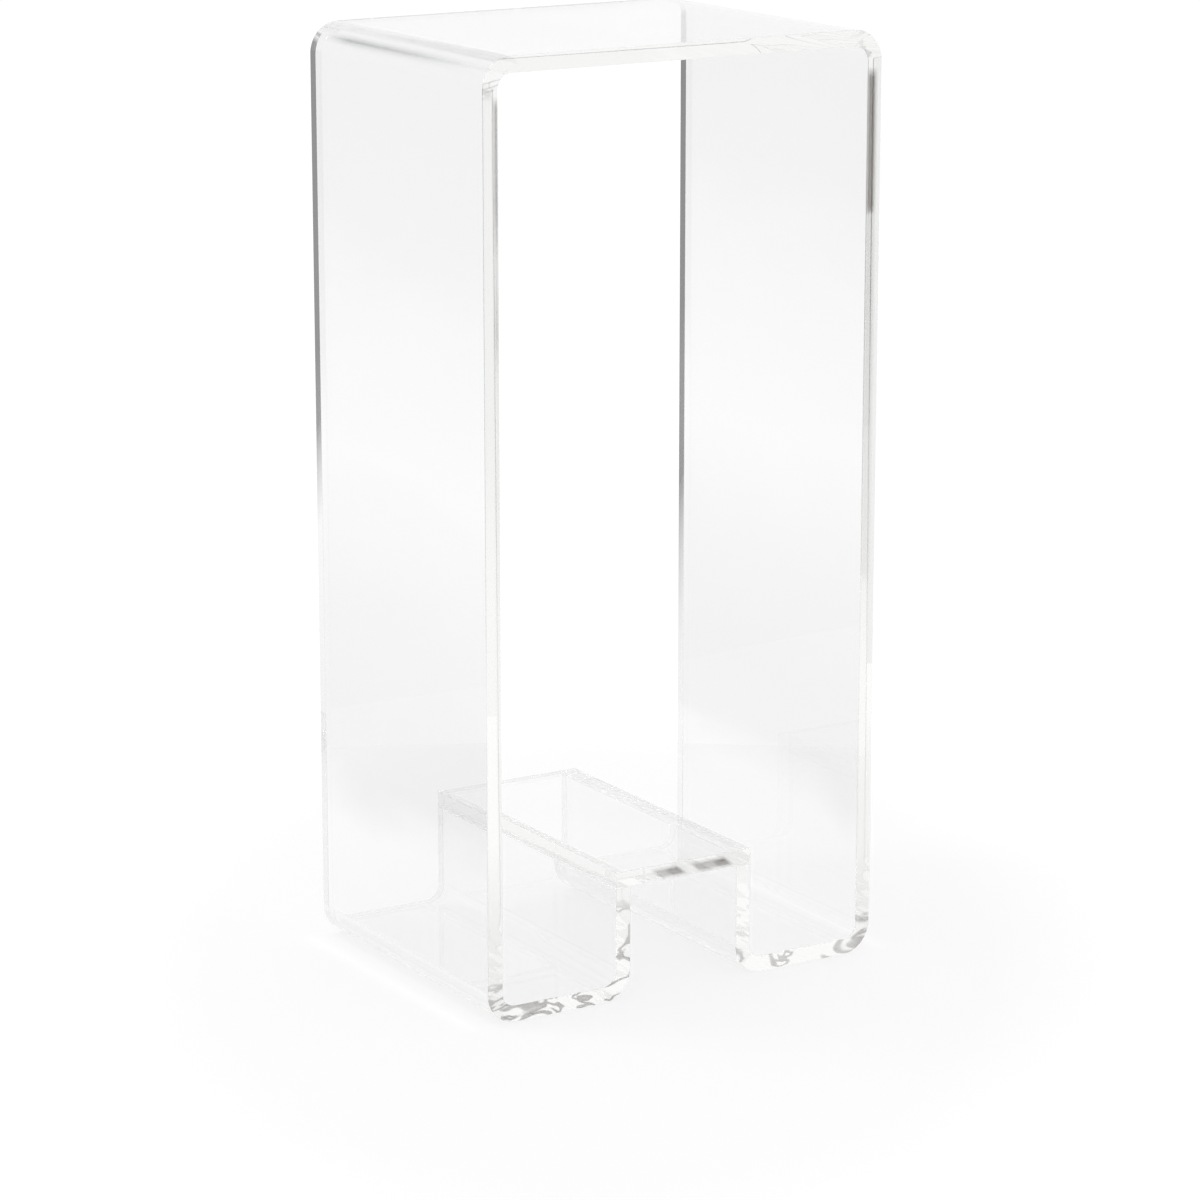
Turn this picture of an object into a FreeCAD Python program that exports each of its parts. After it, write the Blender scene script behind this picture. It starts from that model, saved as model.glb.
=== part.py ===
import FreeCAD, Part
import math
import os
import re

import Sketcher

# Clear acrylic gate stand. One strip of thick sheet is folded six times into a left riser, a left floor,
# a left upright, a top, a right upright, a right floor and a right riser. A flat plate of the same sheet
# is cemented across the tops of the two risers, with a thin film of clear cement under each end.
#
# Frame: the origin is on the ground under the middle of the stand, +X is right, +Y is back, +Z is up.
# The strip's cross-section lies in the XZ plane and is the same from the front edge to the back edge.

# ---------------------------------------------------------------------------------------------------
# Driving dimensions, in millimetres: name, value, meaning
# ---------------------------------------------------------------------------------------------------

DIMENSIONS = [
    ("overall_width", 350.0, "across the outer faces of the two uprights"),
    ("overall_depth", 262.0, "width of the strip, from front edge to back edge"),
    ("overall_height", 732.0, "from the ground to the upper face of the top"),
    ("sheet_thickness", 12.7, "thickness of the folded strip"),
    ("plate_thickness", 12.7, "thickness of the bridge plate"),
    ("channel_width", 101.0, "clear width between an upright and its riser"),
    ("riser_height", 90.0, "from the ground to the cut end of a riser"),
    ("bend_inner_radius", 11.5, "radius on the inside of each fold"),
    ("edge_round", 0.6, "radius left on the long edges by flame polishing"),
    ("cement_thickness", 0.2, "film of cement between a riser and the plate"),
]

SHEET = "Dimensions"

# Places that several pieces share, as formulas of the driving dimensions.
TUNNEL_HALF = "(overall_width / 2 - 2 * sheet_thickness - channel_width)"
BEND_OUTER_RADIUS = "(bend_inner_radius + sheet_thickness)"
RISER_MIDDLE = f"({TUNNEL_HALF} + sheet_thickness / 2)"
PLATE_WIDTH = f"(2 * {TUNNEL_HALF} + 2 * sheet_thickness)"
PLATE_UNDERSIDE = "(riser_height + cement_thickness)"
CEMENT_WIDTH = "(sheet_thickness - 2 * edge_round)"
CEMENT_DEPTH = "(overall_depth - 2 * edge_round)"

ON_PLANE_TOLERANCE = 0.001

doc = FreeCAD.newDocument("AcrylicGateStand")


# ---------------------------------------------------------------------------------------------------
# The spreadsheet, and formulas that read it
# ---------------------------------------------------------------------------------------------------


def make_dimension_sheet():
    """One row for each driving dimension: its name, its value under an alias, and its meaning."""
    sheet = doc.addObject("Spreadsheet::Sheet", SHEET)
    for row, (name, value, meaning) in enumerate(DIMENSIONS, start=1):
        sheet.set(f"A{row}", name)
        sheet.set(f"B{row}", str(value))
        sheet.setAlias(f"B{row}", name)
        sheet.set(f"C{row}", meaning)
    doc.recompute()


def bound(formula):
    """The formula with each dimension's name turned into a reference to its cell."""
    return re.sub(r"[a-z_]{2,}", lambda word: f"{SHEET}.{word.group(0)}", formula)


def amount(formula):
    """The formula's value, in millimetres, used to draw a sketch close to its solved shape."""
    return doc.getObject(SHEET).evalExpression(bound(formula))


# ---------------------------------------------------------------------------------------------------
# Sketch helpers
# ---------------------------------------------------------------------------------------------------

ORIGIN_POINT = (-1, 1)
START, END, CENTRE = 1, 2, 3


def origin_plane(body, role):
    """The body's own plane with that role, such as XZ_Plane."""
    return next(plane for plane in body.Origin.OriginFeatures if plane.Role == role)


def new_section_sketch(body, name):
    """An empty sketch on the body's XZ plane, where the sketch's x and y are the body's X and Z."""
    sketch = body.newObject("Sketcher::SketchObject", name)
    sketch.AttachmentSupport = (origin_plane(body, "XZ_Plane"), "")
    sketch.MapMode = "FlatFace"
    return sketch


def drive(sketch, name, constraint, formula):
    """Adds a dimensional constraint, names it and binds it to the spreadsheet."""
    index = sketch.addConstraint(constraint)
    sketch.renameConstraint(index, name)
    sketch.setExpression(f"Constraints.{name}", bound(formula))


def drive_x(sketch, name, point, formula):
    """Holds a point (element, position) at a distance to the right of the origin."""
    drive(sketch, name, Sketcher.Constraint("DistanceX", *ORIGIN_POINT, *point, amount(formula)), formula)


def drive_z(sketch, name, point, formula):
    """Holds a point (element, position) at a height above the origin."""
    drive(sketch, name, Sketcher.Constraint("DistanceY", *ORIGIN_POINT, *point, amount(formula)), formula)


class Outline:
    """A closed outline drawn one element after another, each joined to the one before it."""

    def __init__(self, sketch):
        self.sketch = sketch
        self.joints = []

    def line(self, start, end):
        """A level or upright straight side. Returns the element's number."""
        a = FreeCAD.Vector(*start, 0)
        b = FreeCAD.Vector(*end, 0)
        element = self.sketch.addGeometry(Part.LineSegment(a, b))
        level = abs(a.y - b.y) < abs(a.x - b.x)
        self.sketch.addConstraint(Sketcher.Constraint("Horizontal" if level else "Vertical", element))
        self.joints.append((element, START, END, "line"))
        return element

    def quarter(self, centre, radius, first_angle, clockwise):
        """A quarter circle that starts at first_angle degrees, counted anticlockwise from +X."""
        circle = Part.Circle(FreeCAD.Vector(*centre, 0), FreeCAD.Vector(0, 0, 1), radius)
        low = math.radians(first_angle)
        high = math.radians(first_angle + 90)
        element = self.sketch.addGeometry(Part.ArcOfCircle(circle, low, high))
        way_in, way_out = (END, START) if clockwise else (START, END)
        self.joints.append((element, way_in, way_out, "arc"))
        return element

    def close(self):
        """Joins each element to the next: smoothly where an arc meets a line, and at a corner elsewhere."""
        following = self.joints[1:] + self.joints[:1]
        for (one, _, way_out, one_kind), (two, way_in, _, two_kind) in zip(self.joints, following):
            kind = "Coincident" if one_kind == two_kind else "Tangent"
            self.sketch.addConstraint(Sketcher.Constraint(kind, one, way_out, two, way_in))


# ---------------------------------------------------------------------------------------------------
# Feature helpers
# ---------------------------------------------------------------------------------------------------


def new_body(label, place_x="0", place_z="0"):
    """A body whose label is its piece's name, placed in the stand's frame."""
    body = doc.addObject("PartDesign::Body", label)
    body.Label = label
    body.setExpression("Placement.Base.x", bound(place_x))
    body.setExpression("Placement.Base.z", bound(place_z))
    return body


def pad_through_depth(body, sketch, depth):
    """Extrudes a section equally to the front and to the back."""
    pad = body.newObject("PartDesign::Pad", f"{body.Name}_pad")
    pad.Profile = sketch
    pad.SideType = "Symmetric"
    pad.setExpression("Length", bound(depth))
    pad.Refine = True
    doc.recompute()
    return pad


def lies_on_end_face(edge, half_depth):
    """True where an edge lies in the flat front face or the flat back face."""
    box = edge.BoundBox
    flat = box.YLength < ON_PLANE_TOLERANCE
    return flat and abs(abs(box.Center.y) - half_depth) < ON_PLANE_TOLERANCE


def round_edges(body, feature, wanted):
    """Flame polishing: rounds the feature's edges that wanted(edge) picks."""
    picked = [f"Edge{number}" for number, edge in enumerate(feature.Shape.Edges, start=1) if wanted(edge)]
    fillet = body.newObject("PartDesign::Fillet", f"{body.Name}_polished_edges")
    fillet.Base = (feature, picked)
    fillet.setExpression("Radius", bound("edge_round"))
    fillet.Refine = True
    doc.recompute()
    return fillet


# ---------------------------------------------------------------------------------------------------
# Pieces
# ---------------------------------------------------------------------------------------------------


def draw_folded_half(sketch):
    """The right half of the strip's section, out along its outer side and back along its inner side."""
    side = amount("overall_width / 2")
    top = amount("overall_height")
    thick = amount("sheet_thickness")
    riser = amount(TUNNEL_HALF)
    cut = amount("riser_height")
    inner = amount("bend_inner_radius")
    outer = amount(BEND_OUTER_RADIUS)

    top_bend = (side - outer, top - outer)
    foot_bend = (side - outer, outer)
    riser_bend = (riser + outer, outer)

    outline = Outline(sketch)
    top_outside = outline.line((0, top), (top_bend[0], top))
    top_bend_outside = outline.quarter(top_bend, outer, 0, clockwise=True)
    upright_outside = outline.line((side, top_bend[1]), (side, foot_bend[1]))
    foot_bend_outside = outline.quarter(foot_bend, outer, 270, clockwise=True)
    floor_underside = outline.line((foot_bend[0], 0), (riser_bend[0], 0))
    riser_bend_outside = outline.quarter(riser_bend, outer, 180, clockwise=True)
    riser_tunnel_side = outline.line((riser, riser_bend[1]), (riser, cut))
    riser_cut_end = outline.line((riser, cut), (riser + thick, cut))
    outline.line((riser + thick, cut), (riser + thick, riser_bend[1]))
    riser_bend_inside = outline.quarter(riser_bend, inner, 180, clockwise=False)
    outline.line((riser_bend[0], thick), (foot_bend[0], thick))
    foot_bend_inside = outline.quarter(foot_bend, inner, 270, clockwise=False)
    outline.line((side - thick, foot_bend[1]), (side - thick, top_bend[1]))
    top_bend_inside = outline.quarter(top_bend, inner, 0, clockwise=False)
    outline.line((top_bend[0], top - thick), (0, top - thick))
    outline.line((0, top - thick), (0, top))
    outline.close()

    # The two sides of a fold share one centre, and all folds are made on the same former.
    for outside, inside in ((top_bend_outside, top_bend_inside), (foot_bend_outside, foot_bend_inside),
                            (riser_bend_outside, riser_bend_inside)):
        sketch.addConstraint(Sketcher.Constraint("Coincident", outside, CENTRE, inside, CENTRE))
    for inside in (foot_bend_inside, riser_bend_inside):
        sketch.addConstraint(Sketcher.Constraint("Equal", top_bend_inside, inside))

    drive(sketch, "fold_radius", Sketcher.Constraint("Radius", top_bend_inside, inner), "bend_inner_radius")
    cut_width = Sketcher.Constraint("DistanceX", riser_cut_end, START, riser_cut_end, END, thick)
    drive(sketch, "thickness", cut_width, "sheet_thickness")
    sketch.addConstraint(Sketcher.Constraint("PointOnObject", top_outside, START, -2))
    sketch.addConstraint(Sketcher.Constraint("PointOnObject", floor_underside, START, -1))
    drive_z(sketch, "height", (top_outside, START), "overall_height")
    drive_x(sketch, "half_width", (upright_outside, START), "overall_width / 2")
    drive_x(sketch, "tunnel_half", (riser_tunnel_side, START), TUNNEL_HALF)
    drive_z(sketch, "riser_cut", (riser_cut_end, START), "riser_height")


def make_bent_sheet():
    """The folded strip: half of its section is padded, mirrored, and its long edges polished."""
    body = new_body("bent_sheet")
    sketch = new_section_sketch(body, "bent_sheet_half_section")
    draw_folded_half(sketch)
    pad = pad_through_depth(body, sketch, "overall_depth")

    mirrored = body.newObject("PartDesign::Mirrored", "bent_sheet_whole")
    mirrored.Originals = [pad]
    mirrored.MirrorPlane = (origin_plane(body, "YZ_Plane"), [""])
    mirrored.Refine = True
    body.Tip = mirrored
    doc.recompute()

    half_depth = amount("overall_depth / 2")
    body.Tip = round_edges(body, mirrored, lambda edge: lies_on_end_face(edge, half_depth))
    return body


def make_flat_piece(label, width, height, depth, place_x, place_z):
    """A rectangular block centred on its own X and Y, with its underside at its own Z = 0."""
    body = new_body(label, place_x, place_z)
    sketch = new_section_sketch(body, f"{label}_section")
    half = amount(width) / 2
    tall = amount(height)

    outline = Outline(sketch)
    bottom = outline.line((-half, 0), (half, 0))
    outline.line((half, 0), (half, tall))
    top = outline.line((half, tall), (-half, tall))
    outline.line((-half, tall), (-half, 0))
    outline.close()

    sketch.addConstraint(Sketcher.Constraint("Symmetric", bottom, START, bottom, END, *ORIGIN_POINT))
    drive(sketch, "width", Sketcher.Constraint("DistanceX", bottom, START, bottom, END, 2 * half), width)
    drive_z(sketch, "height", (top, START), height)
    pad = pad_through_depth(body, sketch, depth)
    body.Tip = pad
    return body


def make_bridge_plate():
    """The plate across the risers: its ends are flush with the risers' channel faces."""
    body = make_flat_piece("bridge_plate", PLATE_WIDTH, "plate_thickness", "overall_depth",
                           "0", PLATE_UNDERSIDE)
    body.Tip = round_edges(body, body.Tip, lambda edge: True)
    return body


def make_cement_joint(label, side):
    """A film of cement on one riser's cut end, inside the plate's rounded edges. side is 1 or -1."""
    return make_flat_piece(label, CEMENT_WIDTH, "cement_thickness", CEMENT_DEPTH,
                           f"{side} * {RISER_MIDDLE}", "riser_height")


# ---------------------------------------------------------------------------------------------------
# Build, check and write
# ---------------------------------------------------------------------------------------------------


def check(bodies):
    """Stops if any object failed to compute, or a piece isn't one sound solid."""
    for item in doc.Objects:
        if "Invalid" in item.State or "Error" in item.State:
            raise RuntimeError(f"{item.Label} failed: {item.State}")
    for body in bodies:
        shape = body.Shape
        if shape.isNull() or not shape.isValid() or len(shape.Solids) != 1:
            raise RuntimeError(f"{body.Label} isn't one sound solid")


def main():
    make_dimension_sheet()
    bodies = [
        make_bent_sheet(),
        make_bridge_plate(),
        make_cement_joint("left_cement_joint", -1),
        make_cement_joint("right_cement_joint", 1),
    ]
    doc.recompute()
    check(bodies)

    os.makedirs("parts", exist_ok=True)
    for body in bodies:
        body.Shape.exportStep(os.path.join("parts", f"{body.Label}.step"))
        box = body.Shape.optimalBoundingBox(False)
        print(f"{body.Label}: {body.Shape.Volume:.1f} mm3, x {box.XMin:.2f} to {box.XMax:.2f}, "
              f"y {box.YMin:.2f} to {box.YMax:.2f}, z {box.ZMin:.2f} to {box.ZMax:.2f}")


main()
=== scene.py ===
# %% [markdown]
# # A clear acrylic gate stand
#
# The stand is made from one strip of thick clear acrylic, heated along six lines and folded, and from one
# flat plate that is cemented across the two short risers inside the gate. It has four pieces: the folded
# strip, the bridge plate, and the film of cement under each end of the plate.
#
# Clear plastic has no colour of its own to show its shape. What a viewer sees is the room, bent by every
# face and carried along inside the sheet, so this scene is as much about true edges, bends and light as it
# is about a material.

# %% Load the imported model
import math

import bmesh
import bpy
from mathutils import Matrix, Vector


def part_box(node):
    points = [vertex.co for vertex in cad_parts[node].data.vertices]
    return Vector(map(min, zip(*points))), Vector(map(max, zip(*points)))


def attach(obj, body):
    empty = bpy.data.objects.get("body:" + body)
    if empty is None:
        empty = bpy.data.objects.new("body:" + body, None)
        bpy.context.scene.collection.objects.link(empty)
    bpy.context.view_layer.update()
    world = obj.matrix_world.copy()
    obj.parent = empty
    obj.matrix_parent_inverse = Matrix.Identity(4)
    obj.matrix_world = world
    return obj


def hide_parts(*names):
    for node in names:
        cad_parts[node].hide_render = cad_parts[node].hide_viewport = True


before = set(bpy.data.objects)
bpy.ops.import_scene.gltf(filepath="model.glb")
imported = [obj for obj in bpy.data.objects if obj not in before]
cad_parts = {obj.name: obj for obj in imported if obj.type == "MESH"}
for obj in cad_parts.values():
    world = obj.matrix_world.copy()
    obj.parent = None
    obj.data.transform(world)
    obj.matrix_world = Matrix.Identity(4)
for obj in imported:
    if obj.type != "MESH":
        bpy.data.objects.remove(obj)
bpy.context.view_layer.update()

# %% [markdown]
# ## Sizes that come from the frame
#
# The CAD model already knows how big each piece is. Reading its boxes keeps the visible pieces the same
# size as the solids that they stand for. Only sizes that a box can't tell, such as the radius of a fold,
# are written here.

# %% Read the sizes of the stand
strip_low, strip_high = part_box("bent_sheet")
plate_low, plate_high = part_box("bridge_plate")
film_low, film_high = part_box("right_cement_joint")

WIDTH = strip_high.x - strip_low.x
DEPTH = strip_high.y - strip_low.y
HEIGHT = strip_high.z - strip_low.z
THICKNESS = plate_high.z - plate_low.z
RISER_HEIGHT = film_low.z
TUNNEL_HALF = plate_high.x - THICKNESS
CHANNEL_WIDTH = WIDTH / 2 - 2 * THICKNESS - TUNNEL_HALF

FOLD_INNER_RADIUS = 0.0115
FOLD_OUTER_RADIUS = FOLD_INNER_RADIUS + THICKNESS
EDGE_ROUND = 0.0006
ROUNDING_STEPS = 3

print(f"stand {WIDTH:.3f} x {DEPTH:.3f} x {HEIGHT:.3f} m, sheet {THICKNESS * 1000:.1f} mm")

# %% [markdown]
# ## Shader maths that reads like arithmetic
#
# A mask such as `1 - specks * 0.2` takes three Math nodes in the node editor. A small class that wraps a
# socket and overloads the arithmetic operators builds those nodes from the expression itself. Every other
# node is made by one method, which sets the node's options first and then its sockets.

# %% A class for number sockets, and one for materials

RIGHT, BACK, UP = Vector((1, 0, 0)), Vector((0, 1, 0)), Vector((0, 0, 1))


class Number:
    """A number that varies over a surface. Arithmetic on it adds Math nodes to its tree."""

    def __init__(self, finish, socket):
        self.finish = finish
        self.socket = socket

    def _math(self, operation, first, second):
        return self.finish.node("ShaderNodeMath", {"operation": operation}, {0: first, 1: second})

    def __add__(self, other):
        return self._math("ADD", self, other)

    def __sub__(self, other):
        return self._math("SUBTRACT", self, other)

    def __rsub__(self, other):
        return self._math("SUBTRACT", other, self)

    def __mul__(self, other):
        return self._math("MULTIPLY", self, other)

    __radd__ = __add__
    __rmul__ = __mul__


class Finish:
    """A node tree under construction: a material's, or the world's."""

    def __init__(self, tree):
        self.tree = tree
        tree.nodes.clear()

    def node(self, kind, options=None, inputs=None, output=0):
        """Adds a node, sets its options, fills its sockets with values or links, and wraps an output."""
        made = self.tree.nodes.new(kind)
        for name, value in (options or {}).items():
            if name == "stops":
                self._set_stops(made.color_ramp, value)
            else:
                setattr(made, name, value)
        for name, value in (inputs or {}).items():
            if isinstance(value, Number):
                self.tree.links.new(value.socket, made.inputs[name])
            else:
                made.inputs[name].default_value = value
        return Number(self, made.outputs[output]) if len(made.outputs) else made

    def _set_stops(self, ramp, stops):
        while len(ramp.elements) < len(stops):
            ramp.elements.new(0.5)
        for element, (place, shade) in zip(ramp.elements, stops):
            element.position = place
            element.color = (shade, shade, shade, 1)

    def place(self, centre=(0, 0, 0), stretch=(1, 1, 1)):
        """The point's place on the object, in metres, moved and stretched for a pattern."""
        where = self.node("ShaderNodeTexCoord", output="Object")
        return self.node("ShaderNodeMapping", {"vector_type": "POINT"},
                         {"Vector": where, "Location": centre, "Scale": stretch})

    def noise(self, vector, scale, detail=2.0, distortion=0.0):
        """Soft cloudy noise from 0 to 1. scale counts its lumps for each metre."""
        return self.node("ShaderNodeTexNoise", {"noise_dimensions": "3D"},
                         {"Vector": vector, "Scale": scale, "Detail": detail, "Distortion": distortion})

    def along(self, vector, direction):
        """How far a vector reaches along a direction."""
        return self.node("ShaderNodeVectorMath", {"operation": "DOT_PRODUCT"},
                         {0: vector, 1: direction}, output="Value")

    def reach(self, direction):
        """How far the point lies along a direction, in metres from the origin."""
        return self.along(self.place(), direction)

    def ramp(self, number, *stops, shift=0.0):
        """Maps a number through stops of (place, shade). A ramp's own places run from 0 to 1, so a shift
        moves a number that can be negative, and its stops with it, to where the ramp can hold them."""
        if shift:
            number = number + shift
            stops = [(place + shift, shade) for place, shade in stops]
        return self.node("ShaderNodeValToRGB", {"stops": stops}, {"Fac": number})

    def ramp_both_ways(self, number, *stops):
        """The same ramp on both sides of zero. Squares, of the number and of the places, make them alike."""
        return self.ramp(number * number, *[(place ** 2, shade) for place, shade in stops])


def new_material(name):
    """A material with an empty node tree, ready for its finish."""
    material = bpy.data.materials.new(name)
    material.use_nodes = True
    return material, Finish(material.node_tree)


# %% [markdown]
# ## Clear acrylic
#
# Acrylic bends light by an index of 1.49. A Principled shader with full transmission gives that, and a
# Volume Absorption shader inside it takes a very little light for each metre travelled. It has to be very
# little: some light runs back and forth for many metres inside the sheet before it gets out, and it would
# leave dark lines along the folds and joints.
#
# The faces and the edges are both clear acrylic, so one function makes both finishes. What differs comes in
# as two patterns: how much of a dim tint, which is painted shade on the faces and painted reflection on the
# edges, is laid over the clear one, and how the surface swells.

# %% One function for clear acrylic

ACRYLIC_IOR = 1.49
ABSORPTION_COLOUR = (0.62, 0.62, 0.58, 1)
ABSORPTION_DENSITY = 0.04
WIPE_MARKS = ((0.52, 0.0), (0.74, 1.0))


def clear_acrylic(name, clear_tint, painted_dim_tint, painted_dimness, swell, swell_height, wipe_roughness, dullness=0.0):
    """Transparent acrylic. dimness and swell are functions that draw a pattern."""
    material, finish = new_material(name)
    normal = finish.node("ShaderNodeBump", {},
                         {"Height": swell(finish), "Distance": swell_height, "Strength": 1.0})
    wipes = finish.noise(finish.place(stretch=(1, 6, 1.6)), 14, detail=4, distortion=1.2)
    tint = finish.node("ShaderNodeMix", {"data_type": "RGBA"},
                       {0: painted_dimness(finish), 6: clear_tint, 7: painted_dim_tint}, output=2)
    shader = finish.node("ShaderNodeBsdfPrincipled", {}, {
        "Base Color": tint,
        "Roughness": finish.ramp(wipes, *WIPE_MARKS) * wipe_roughness + dullness,
        "IOR": ACRYLIC_IOR,
        "Transmission Weight": 1.0,
        "Normal": normal,
    })
    inside = finish.node("ShaderNodeVolumeAbsorption", {},
                         {"Color": ABSORPTION_COLOUR, "Density": ABSORPTION_DENSITY})
    finish.node("ShaderNodeOutputMaterial", {}, {"Surface": shader, "Volume": inside})
    return material


# %% [markdown]
# ## The faces
#
# A cast sheet isn't perfectly flat. Its faces swell very slowly, which makes reflections swim. They also
# carry a faint painted shade, a grey tint that stands in for the room's shade seen through the sheet, which
# is thick near the top, almost absent in the middle, and thick again low down. A ramp over the height sets
# it, and slow noise lets it drift.
#
# The left upper fold gathers the shade of a whole wall into one thin soft line along the bend. The folds of
# this mesh are too perfect to do that, so the line is drawn, at the height where the fold turns most.

# %% Make the finish of the faces

CLEAR_FACE = (0.972, 0.973, 0.973, 1)
PAINTED_SHADE_FACE = (0.160, 0.163, 0.170, 1)
FULL_PAINTED_SHADE = 0.15
PAINTED_SHADE_DRIFT = 0.10
PAINTED_SHADE_UP_THE_SHEET = ((0.0, 0.0), (0.10, 0.15), (0.14, 0.95), (0.20, 1.0), (0.29, 0.80), (0.40, 0.33),
                     (0.52, 0.58), (0.60, 0.92), (0.68, 1.0))
FOLD_LINE_UP = ((0.7206, 0.0), (0.7218, 1.0), (0.7228, 1.0), (0.7240, 0.0))
FOLD_LINE_TO_BACK = ((-0.11, 0.0), (-0.02, 0.55), (0.08, 0.75), (0.115, 0.0))
FROM_THE_MIDDLE = ((0.0, 0.0), (0.01, 1.0))


# Painted shade: a grey tint by height over the faces, and a painted shade line under the left upper fold.
def painted_shade_and_fold_line(finish):
    height = finish.reach(UP)
    drift = finish.noise(finish.place(stretch=(1, 1, 2.2)), 3.5, detail=3, distortion=0.8)
    painted_sheet_shade = finish.ramp(height + (drift - 0.5) * PAINTED_SHADE_DRIFT, *PAINTED_SHADE_UP_THE_SHEET)
    on_left = finish.ramp(finish.reach(-RIGHT), *FROM_THE_MIDDLE)
    line = finish.ramp(height, *FOLD_LINE_UP)
    line_depth = finish.ramp(finish.reach(BACK), *FOLD_LINE_TO_BACK, shift=0.2)
    return painted_sheet_shade * FULL_PAINTED_SHADE + on_left * line * line_depth


def slow_swell(finish):
    return finish.noise(finish.place(), 7, detail=1.5)


face_finish = clear_acrylic("sheet_face", CLEAR_FACE, PAINTED_SHADE_FACE, painted_shade_and_fold_line, slow_swell,
                            swell_height=0.00006, wipe_roughness=0.02)

# %% [markdown]
# ## The edges
#
# The edges were sawn, scraped and flame polished. A flame leaves them calm on the long uprights, but they
# ripple near the folds by the ground, where the heat has worked on the sheet.
#
# An edge works like a lens: it shows a small, dark, broken picture of whatever is darkest in the room. The
# mesh makes most of that by itself, along the far edges. The rest is drawn on the front edges, always by
# place on the stand, so that it stays put from every side: a dim band down each upright, two dim panes in
# the plate, and curled marks where the ripples are strongest. On the outer uprights and on the right riser
# the marks stay near the ground, and a few come back at the upper corners.
#
# The narrow roundings between face and edge share all of that, but a little dullness blurs what they show,
# as fine scratches do on a corner that hands touch. Fully clear, so narrow a lens would only glitter.

# %% Make the finish of the edges

CLEAR_EDGE = (0.940, 0.940, 0.932, 1)
PAINTED_REFLECTION_EDGE = (0.110, 0.100, 0.090, 1)

RIGHT_BAND_ACROSS = ((0.1610, 0.0), (0.1614, 1.0), (0.1702, 1.0), (0.1706, 0.0))
RIGHT_BAND_UP = ((0.22, 0.0), (0.30, 0.10), (0.31, 0.30), (0.42, 0.35), (0.43, 0.45), (0.592, 0.50),
                 (0.594, 1.0), (0.698, 1.0), (0.702, 0.0))
LEFT_BAND_ACROSS = ((0.1614, 0.0), (0.1618, 1.0), (0.1660, 1.0), (0.1664, 0.0))
LEFT_BAND_UP = ((0.15, 0.0), (0.24, 0.12), (0.50, 0.30), (0.53, 0.65), (0.58, 0.45), (0.62, 0.90),
                (0.698, 0.90), (0.702, 0.0))
PANES_UP = ((0.0900, 0.0), (0.0904, 1.0), (0.0982, 1.0), (0.0988, 0.0))
PANE_MIDDLE = 0.0945
PANE_SLANT = 1.1
PANES_ACROSS = ((-0.0254, 0.0), (-0.0250, 0.75), (-0.0120, 0.78), (-0.0116, 0.95), (0.0005, 0.95),
                (0.0010, 0.0), (0.0128, 0.0), (0.0132, 0.75), (0.0290, 0.80), (0.0294, 0.98),
                (0.0436, 0.98), (0.0442, 0.0))

MARKS = ((0.52, 0.0), (0.545, 0.75), (0.60, 0.90), (0.625, 0.0))
MARKS_UP = ((0.020, 1.0), (0.070, 0.75), (0.088, 0.0))
CALM_BY = 0.045
OUTER_UPRIGHTS = ((0.1490, 0.0), (0.1619, 1.0))
UPPER_CORNERS = ((0.700, 0.0), (0.708, 0.7))
GREYER_BELOW = ((0.05, 0.16), (0.10, 0.05), (0.30, 0.0))
RIPPLE_UP = ((0.03, 1.0), (0.08, 0.40), (0.089, 0.02))


# Painted reflection of the dark room, on the front edges only: the bands, the panes, the curled marks and a
# greyer tint low on the outer uprights.
def painted_reflection_bands_and_marks(finish):
    across, height = finish.reach(RIGHT), finish.reach(UP)
    right = finish.ramp(across, *FROM_THE_MIDDLE)
    front = finish.ramp(finish.reach(-BACK), *FROM_THE_MIDDLE)
    outer = finish.ramp_both_ways(across, *OUTER_UPRIGHTS)

    right_band = finish.ramp(across, *RIGHT_BAND_ACROSS) * finish.ramp(height, *RIGHT_BAND_UP)
    left_band = finish.ramp(across * -1, *LEFT_BAND_ACROSS) * finish.ramp(height, *LEFT_BAND_UP)
    slanted = across + (height - PANE_MIDDLE) * PANE_SLANT
    panes = finish.ramp(height, *PANES_UP) * finish.ramp(slanted, *PANES_ACROSS, shift=0.1)

    streaks = finish.noise(finish.place(centre=(0.3, 0, 0.1), stretch=(0.6, 0.2, 1.3)), 30, detail=2,
                           distortion=2.0)
    calm = outer + right * (1 - outer)
    low_down = finish.ramp(height + calm * CALM_BY, *MARKS_UP)
    at_corners = finish.ramp(height, *UPPER_CORNERS) * outer
    marks = finish.ramp(streaks, *MARKS) * (low_down + at_corners)
    greyer = finish.ramp(height, *GREYER_BELOW) * outer
    return front * (right_band + left_band + panes + greyer + marks)


def flame_ripple(finish):
    return finish.noise(finish.place(), 55, detail=1.5) * finish.ramp(finish.reach(UP), *RIPPLE_UP)


flame_polish_and_painted_reflection = dict(clear_tint=CLEAR_EDGE, painted_dim_tint=PAINTED_REFLECTION_EDGE, painted_dimness=painted_reflection_bands_and_marks, swell=flame_ripple,
                    swell_height=0.00035, wipe_roughness=0.04)
edge_finish = clear_acrylic("flame_polished_edge_and_painted_reflection", **flame_polish_and_painted_reflection)
rounded_finish = clear_acrylic("rounded_edge", **flame_polish_and_painted_reflection, dullness=0.12)

# %% [markdown]
# ## The bonded faces
#
# Where cement has wetted both faces of a joint, the light doesn't notice them: acrylic, cement and acrylic
# have the same index. If the faces kept a glass finish, the thin gap between them would shine like a
# mirror. So the wetted part of each face is almost fully transparent, with no bending. It shows only as a
# faint milky band with a painted glow, a little emission that stands in for the light that leaks from the
# sheet, and as dots where the cement did not take, which is near the back of the right joint.

# %% Make the bonded finish

MILK = (0.93, 0.93, 0.92, 1)
MILK_ALPHA = 0.07
DOT_ALPHA = 0.45
PAINTED_GLOW_OF_LEAKING_LIGHT = 0.4
DOT = ((0.10, 1.0), (0.16, 0.0))
PATCH_OF_DOTS = ((0.55, 0.0), (0.62, 1.0))
DOTS_TO_BACK = ((-0.02, 0.0), (0.04, 1.0))


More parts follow.
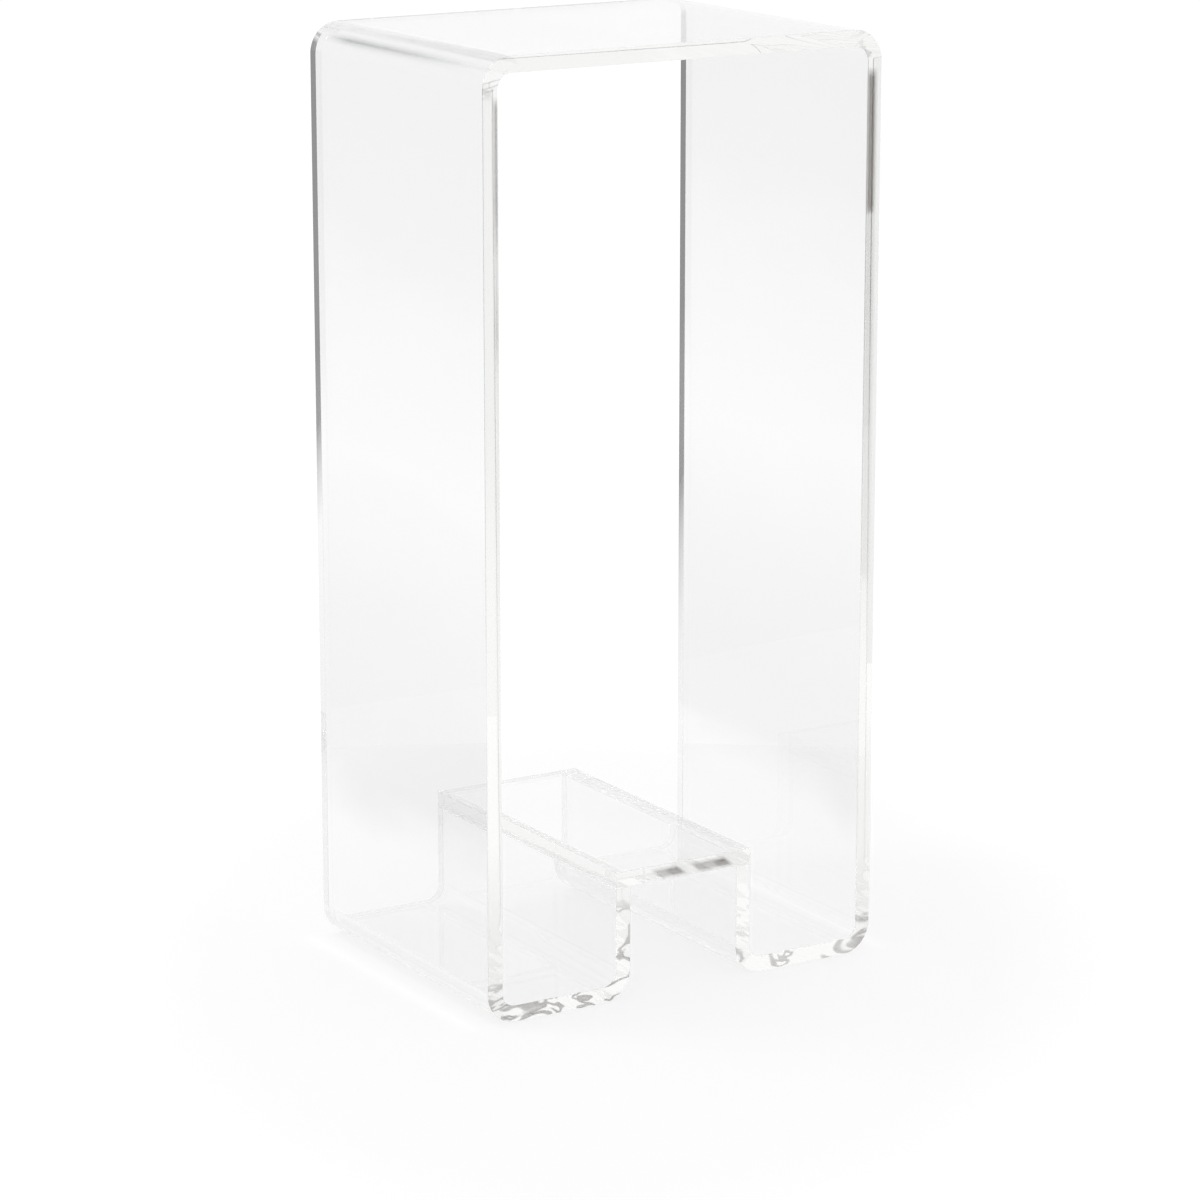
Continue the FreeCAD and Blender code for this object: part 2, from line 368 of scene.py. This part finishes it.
def bonded_face(name):
    """A face wetted by cement: clear straight through, but a little milky, with small unwetted dots."""
    material, finish = new_material(name)
    grains = finish.node("ShaderNodeTexVoronoi", {"feature": "F1"},
                        {"Vector": finish.place(stretch=(1, 0.6, 1)), "Scale": 260, "Randomness": 1.0})
    patches = finish.noise(finish.place(), 22, detail=2)
    dots = finish.ramp(grains, *DOT) * finish.ramp(patches, *PATCH_OF_DOTS)
    on_right = finish.ramp(finish.reach(RIGHT), *FROM_THE_MIDDLE)
    at_rear = finish.ramp(finish.reach(BACK), *DOTS_TO_BACK, shift=0.2)
    shader = finish.node("ShaderNodeBsdfPrincipled", {}, {
        "Base Color": MILK,
        "Roughness": 0.6,
        "Specular IOR Level": 0.0,
        # Painted glow: emission stands in for the light that leaks from the sheet into the film.
        "Emission Color": MILK,
        "Emission Strength": PAINTED_GLOW_OF_LEAKING_LIGHT,
        "Alpha": dots * on_right * at_rear * DOT_ALPHA + MILK_ALPHA,
    })
    finish.node("ShaderNodeOutputMaterial", {}, {"Surface": shader})
    return material


bonded_finish = bonded_face("bonded_face")

FACE, EDGE, BONDED, ROUNDED = 0, 1, 2, 3
FINISHES = (face_finish, edge_finish, bonded_finish, rounded_finish)

# %% [markdown]
# ## Turning a bmesh into a piece
#
# Every piece gets the same finishing steps. The faces are smooth shaded so that the folds are truly round,
# and a Weighted Normal modifier lets the large flat faces keep their own direction, so that the narrow
# rounded edges take all of the turn. Without it, light through a flat face would bend as if it bulged.

# %% A helper that finishes a piece


def finish_piece(name, work, node):
    """Makes the bmesh an object that rides on the stand and stands for one CAD node."""
    for face in work.faces:
        face.smooth = True
    mesh = bpy.data.meshes.new(name)
    work.to_mesh(mesh)
    work.free()
    for finish in FINISHES:
        mesh.materials.append(finish)
    piece = bpy.data.objects.new(name, mesh)
    bpy.context.scene.collection.objects.link(piece)
    normals = piece.modifiers.new("flat_faces_stay_flat", "WEIGHTED_NORMAL")
    normals.weight = 100
    normals.keep_sharp = False
    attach(piece, "root")
    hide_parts(node)
    print(f"{name}: {len(mesh.polygons)} faces")


def round_over(work, edges):
    """Rounds edges the way a flame rounds a scraped edge."""
    bmesh.ops.bevel(work, geom=edges, affect="EDGES", offset=EDGE_ROUND, offset_type="OFFSET",
                    segments=ROUNDING_STEPS, profile=0.5, material=-1)


# %% [markdown]
# ## The folded strip
#
# The real strip is heated along a line, folded a quarter turn and left to set, six times, always the same
# way. The mesh is made like that too. It starts as the cut end of the left riser. A straight run extrudes
# the end face forward, and a fold spins it a quarter turn about a line beside the sheet. Seven runs and six
# folds later it is the cut end of the right riser.
#
# Drawing the outline and extruding it through the depth would give the same shape, but this way each fold
# is made by one line of code, and the faces follow the sheet as its grain would.

# %% Fold the strip

FOLD_SEGMENTS = 32
AXIS_OF_FOLDS = BACK


def start_of_strip(work, centre):
    """The cut end of the strip: a rectangle that lies level at centre."""
    made = bmesh.ops.create_grid(work, x_segments=1, y_segments=1, size=0.5)
    bmesh.ops.scale(work, vec=(THICKNESS, DEPTH, 1), verts=made["verts"])
    bmesh.ops.translate(work, vec=centre, verts=made["verts"])
    return work.faces[:]


def leave_behind(work, end):
    """Removes an end face that the strip has grown past, so that no wall is left inside the sheet."""
    bmesh.ops.delete(work, geom=[face for face in end if face.is_valid], context="FACES_ONLY")


def run_straight(work, end, heading, length):
    """Extrudes the end face by length along its heading, and returns the new end face."""
    made = bmesh.ops.extrude_face_region(work, geom=end, use_keep_orig=True)["geom"]
    verts = [part for part in made if isinstance(part, bmesh.types.BMVert)]
    bmesh.ops.translate(work, vec=heading * length, verts=verts)
    return [part for part in made if isinstance(part, bmesh.types.BMFace)]


def fold(work, end, heading):
    """Spins the end face a quarter turn to its right-hand side, and returns it with its new heading."""
    quarter = Matrix.Rotation(math.pi / 2, 3, AXIS_OF_FOLDS)
    aside = quarter @ heading
    middle = end[0].calc_center_median()
    made = bmesh.ops.spin(work, geom=end, cent=middle + aside * (THICKNESS / 2 + FOLD_INNER_RADIUS),
                          axis=AXIS_OF_FOLDS, dvec=(0, 0, 0), angle=math.pi / 2, steps=FOLD_SEGMENTS,
                          use_merge=False)["geom_last"]
    leave_behind(work, end)
    return [part for part in made if isinstance(part, bmesh.types.BMFace)], aside


def fold_the_strip():
    work = bmesh.new()
    riser_run = RISER_HEIGHT - FOLD_OUTER_RADIUS
    floor_run = CHANNEL_WIDTH - 2 * FOLD_INNER_RADIUS
    upright_run = HEIGHT - 2 * FOLD_OUTER_RADIUS
    top_run = WIDTH - 2 * FOLD_OUTER_RADIUS
    runs = (riser_run, floor_run, upright_run, top_run, upright_run, floor_run, riser_run)

    heading = Vector((0, 0, -1))
    end = start_of_strip(work, Vector((-TUNNEL_HALF - THICKNESS / 2, 0, RISER_HEIGHT)))
    end = run_straight(work, end, heading, runs[0])
    for length in runs[1:]:
        end, heading = fold(work, end, heading)
        beyond = run_straight(work, end, heading, length)
        leave_behind(work, end)
        end = beyond

    bmesh.ops.recalc_face_normals(work, faces=work.faces)
    corners = [edge for edge in work.edges
               if all(abs(abs(vert.co.y) - DEPTH / 2) < 1e-6 for vert in edge.verts)
               and edge.calc_face_angle(0) > math.radians(45)]
    round_over(work, corners)

    for face in work.faces:
        middle = face.calc_center_median()
        if abs(face.normal.y) > 0.99:
            face.material_index = EDGE
        elif abs(face.normal.y) > 0.01:
            face.material_index = ROUNDED
        elif abs(middle.z - RISER_HEIGHT) < 1e-6 and abs(middle.x) < TUNNEL_HALF + THICKNESS:
            face.material_index = BONDED
    finish_piece("folded_strip", work, "bent_sheet")


fold_the_strip()

# %% [markdown]
# ## The bridge plate
#
# The plate is a sawn rectangle with all its edges polished. A cube operator gives the rectangle, a bevel
# rounds its twelve edges, and four cuts divide it, so that the strip of its underside that sits on each
# riser can take the bonded finish. The cement stops a little short of both sides of a joint, so each has
# two dry rims, which show as a pair of fine parallel lines.

# %% Saw and polish the plate

DRY_RIM = 0.0010


def sawn_block(work, low, high):
    """A rectangular block between two corners."""
    bmesh.ops.create_cube(work, size=1)
    bmesh.ops.scale(work, vec=high - low, verts=work.verts)
    bmesh.ops.translate(work, vec=(high + low) / 2, verts=work.verts)


def cut_across(work, places):
    """Cuts every face at each place along X."""
    for place in places:
        bmesh.ops.bisect_plane(work, geom=work.verts[:] + work.edges[:] + work.faces[:], dist=1e-7,
                               plane_co=(place, 0, 0), plane_no=(1, 0, 0))


def polish_the_plate():
    work = bmesh.new()
    sawn_block(work, plate_low, plate_high)
    round_over(work, work.edges[:])
    wet_inner = TUNNEL_HALF + DRY_RIM
    wet_outer = TUNNEL_HALF + THICKNESS - DRY_RIM
    cut_across(work, (-wet_outer, -wet_inner, wet_inner, wet_outer))
    for face in work.faces:
        middle = face.calc_center_median()
        underside = face.normal.z < -0.9 and middle.z - plate_low.z < 1e-6
        if underside and wet_inner < abs(middle.x) < wet_outer:
            face.material_index = BONDED
        elif max(abs(part) for part in face.normal) < 0.99:
            face.material_index = ROUNDED
        elif abs(face.normal.z) < 0.5:
            face.material_index = EDGE
    finish_piece("polished_bridge_plate", work, "bridge_plate")


polish_the_plate()

# %% [markdown]
# ## The cement joints
#
# A cured film of cement is thinner than a sheet of card. It can't be seen face on, and it shows only as a
# fine line at the joint, and where air was trapped. Each film is a thin block whose upper and lower faces
# are bonded. The pockets of air are flattened balls inside it, turned inside out, because the surface of a
# hole in a solid faces into the hole.

# %% Lay the cement and trap the air

AIR_POCKETS = {
    "left": ((0.35, 0.86, 2.2), (0.62, 0.80, 1.4), (0.45, 0.30, 1.0)),
    "right": ((0.40, 0.93, 3.0), (0.66, 0.88, 4.4), (0.35, 0.84, 3.4), (0.62, 0.79, 2.6),
              (0.45, 0.71, 1.2), (0.60, 0.66, 1.0), (0.42, 0.60, 0.9), (0.55, 0.42, 0.8)),
}
POCKET_LENGTHENING = 2.1
POCKET_HALF_HEIGHT = 0.42


def lay_cement(side):
    """One film of cement. A pocket's half height is a share of the film's thickness."""
    low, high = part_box(f"{side}_cement_joint")
    work = bmesh.new()
    sawn_block(work, low, high)
    for face in work.faces:
        face.material_index = BONDED if abs(face.normal.z) > 0.5 else EDGE
    for across, along, radius_mm in AIR_POCKETS[side]:
        made = bmesh.ops.create_uvsphere(work, u_segments=24, v_segments=12, radius=radius_mm / 1000)
        flatten = POCKET_HALF_HEIGHT * (high.z - low.z) * 1000 / radius_mm
        bmesh.ops.scale(work, vec=(1, POCKET_LENGTHENING, flatten), verts=made["verts"])
        centre = Vector((low.x + across * (high.x - low.x), low.y + along * (high.y - low.y),
                         (low.z + high.z) / 2))
        bmesh.ops.translate(work, vec=centre, verts=made["verts"])
        skin = {face for vert in made["verts"] for face in vert.link_faces}
        bmesh.ops.reverse_faces(work, faces=list(skin))
    finish_piece(f"{side}_cement_film", work, f"{side}_cement_joint")


for side in ("left", "right"):
    lay_cement(side)

# %% [markdown]
# ## The studio
#
# A clear object is lit by what stands around it. It stands on a large round white table that glows a
# little, and shade gathers on the table in a soft pool around it. Behind the table the room is white. In
# front of it, where the camera is, the room is a middling grey, and the table fades towards it. The white
# side makes the sheet look clear, and the grey side draws the thin dark lines along its far edges. The
# room's axis runs level from the grey side to the white one.
#
# Thick acrylic also throws light: a bright streak lies on the table along each fold. Path tracing finds
# such streaks very slowly, so they are part of the table's glow.

# %% Lay the table

TABLE_RADIUS = 1.53
TABLE_CENTRE = Vector((-0.5, -0.8, 0))
TABLE_GAP = 0.0003
TABLE_WHITE = 0.12
GLOW_IN_SHADE = 0.83
GLOW_BEYOND = 0.895
ROOM_AXIS = Vector((0.526, 0.850, 0))
SHADE_ALONG = 0.78
SHADE_ACROSS = 0.46
STREAK_GLOW = 0.05
STREAKS_BESIDE_FOLDS = ((0.0283, 0.0), (0.0374, 1.0), (0.0412, 1.0), (0.0490, 0.0),
                        (0.0693, 0.0), (0.0762, 1.0), (0.0800, 1.0), (0.0922, 0.0),
                        (0.1766, 0.0), (0.1803, 1.0), (0.1830, 1.0), (0.2000, 0.0))
STREAKS_TO_BACK = ((0.1183, 1.0), (0.1414, 0.0))
RIM_FADE = 0.80
TOWARDS_RIM = ((0.50, 0.0), (0.97, 1.0))
NEAR_SIDE = ((-0.20, 1.0), (0.06, 0.0))


def table_glow(finish):
    """The pool of shade, the fade to the near rim, and the streaks beside the folds."""
    along = finish.reach(ROOM_AXIS / SHADE_ALONG)
    across = finish.reach(ROOM_AXIS.cross(UP) / SHADE_ACROSS)
    pool = finish.ramp(along * along + across * across, (0.45, GLOW_IN_SHADE), (1.0, GLOW_BEYOND))

    size = 1 / TABLE_RADIUS
    from_centre = finish.place(centre=-TABLE_CENTRE * size, stretch=(size, size, 0))
    towards_rim = finish.ramp(finish.along(from_centre, from_centre), *TOWARDS_RIM)
    near_side = finish.ramp(finish.reach(ROOM_AXIS), *NEAR_SIDE, shift=0.5)

    beside = finish.ramp_both_ways(finish.reach(RIGHT), *STREAKS_BESIDE_FOLDS)
    to_back = finish.ramp_both_ways(finish.reach(BACK), *STREAKS_TO_BACK)
    return pool * (1 - towards_rim * near_side * RIM_FADE) + beside * to_back * STREAK_GLOW


def lay_table():
    work = bmesh.new()
    bmesh.ops.create_circle(work, cap_ends=True, segments=128, radius=TABLE_RADIUS)
    bmesh.ops.translate(work, vec=TABLE_CENTRE + UP * (strip_low.z - TABLE_GAP), verts=work.verts)
    mesh = bpy.data.meshes.new("table")
    work.to_mesh(mesh)
    work.free()
    material, finish = new_material("glowing_white_table")
    shader = finish.node("ShaderNodeBsdfPrincipled", {}, {
        "Base Color": (TABLE_WHITE, TABLE_WHITE, TABLE_WHITE, 1),
        "Roughness": 0.9,
        "Specular IOR Level": 0.1,
        "Emission Color": table_glow(finish),
        "Emission Strength": 1.0,
    })
    finish.node("ShaderNodeOutputMaterial", {}, {"Surface": shader})
    mesh.materials.append(material)
    table = bpy.data.objects.new("table", mesh)
    bpy.context.scene.collection.objects.link(table)


lay_table()

# %% [markdown]
# ## The room
#
# The room is only a glow that depends on direction: grey behind the camera, white behind the stand, and
# white overhead. One square softbox above the table adds a soft direction to the light.

# %% Light the room

WHITE_ROOM = 1.04
GREY_ROOM = 0.24
CEILING = 1.0
WALL_TOWARDS_BACK = ((0.34, GREY_ROOM), (0.60, 0.55), (0.70, 0.96), (0.86, 1.0))
CEILING_STARTS = ((-0.08, 0.0), (0.02, 1.0))


def light_the_room():
    world = bpy.data.worlds.new("studio")
    bpy.context.scene.world = world
    world.use_nodes = True
    finish = Finish(world.node_tree)
    direction = finish.node("ShaderNodeTexCoord", output="Generated")
    wall = finish.ramp(finish.along(direction, ROOM_AXIS) * 0.5 + 0.5, *WALL_TOWARDS_BACK)
    above = finish.ramp(finish.along(direction, UP), *CEILING_STARTS, shift=0.5)
    glow = finish.ramp(wall * (1 - above) + above * CEILING, (0.0, 0.0), (1.0, WHITE_ROOM))
    background = finish.node("ShaderNodeBackground", {}, {"Color": glow, "Strength": 1.0})
    finish.node("ShaderNodeOutputWorld", {}, {"Surface": background})


light_the_room()


def add_softbox(name, place, aim, size, power):
    """A square softbox at place, facing aim."""
    light = bpy.data.lights.new(name, "AREA")
    light.shape = "SQUARE"
    light.size = size
    light.energy = power
    lamp = bpy.data.objects.new(name, light)
    lamp.location = place
    lamp.rotation_euler = (Vector(aim) - Vector(place)).to_track_quat("-Z", "Y").to_euler()
    bpy.context.scene.collection.objects.link(lamp)


add_softbox("overhead_softbox", (-0.9, 0.5, 2.2), (0, 0, 0), 0.5, 14)

# %% [markdown]
# ## Camera
#
# The camera stands to the front left of the stand, a little above it, with a long lens, so that upright
# edges stay nearly parallel. The view is set by the direction and distance from a point on the stand's
# middle line.

# %% Set up the camera

CAMERA_AIM = Vector((0.005, 0, 0.281))
CAMERA_AZIMUTH = math.radians(-31.73)
CAMERA_ELEVATION = math.radians(14.02)
CAMERA_DISTANCE = 3.443
CAMERA_LENS = 131.53


def place_camera():
    camera_data = bpy.data.cameras.new("camera")
    camera_data.lens = CAMERA_LENS
    camera_data.sensor_width = 36
    camera_data.dof.use_dof = False
    camera = bpy.data.objects.new("camera", camera_data)
    level = math.cos(CAMERA_ELEVATION)
    away = Vector((math.sin(CAMERA_AZIMUTH) * level, -math.cos(CAMERA_AZIMUTH) * level,
                   math.sin(CAMERA_ELEVATION)))
    camera.location = CAMERA_AIM + away * CAMERA_DISTANCE
    camera.rotation_euler = (-away).to_track_quat("-Z", "Y").to_euler()
    bpy.context.scene.collection.objects.link(camera)
    bpy.context.scene.camera = camera


place_camera()

# %% [markdown]
# ## Light that runs inside the sheet
#
# Light that enters an edge is carried along by reflection from face to face. Most of it gets out after a
# few dozen turns, but some needs hundreds, and a path that is cut short turns black. So the number of
# reflections and passages that a path may make is raised a long way. The plain Standard view keeps the
# white room white.

# %% Let light run its course

LIGHT_TURNS = 600

scene = bpy.context.scene
scene.cycles.max_bounces = LIGHT_TURNS
scene.cycles.glossy_bounces = LIGHT_TURNS
scene.cycles.transmission_bounces = LIGHT_TURNS
scene.cycles.transparent_max_bounces = LIGHT_TURNS
scene.view_settings.view_transform = "Standard"
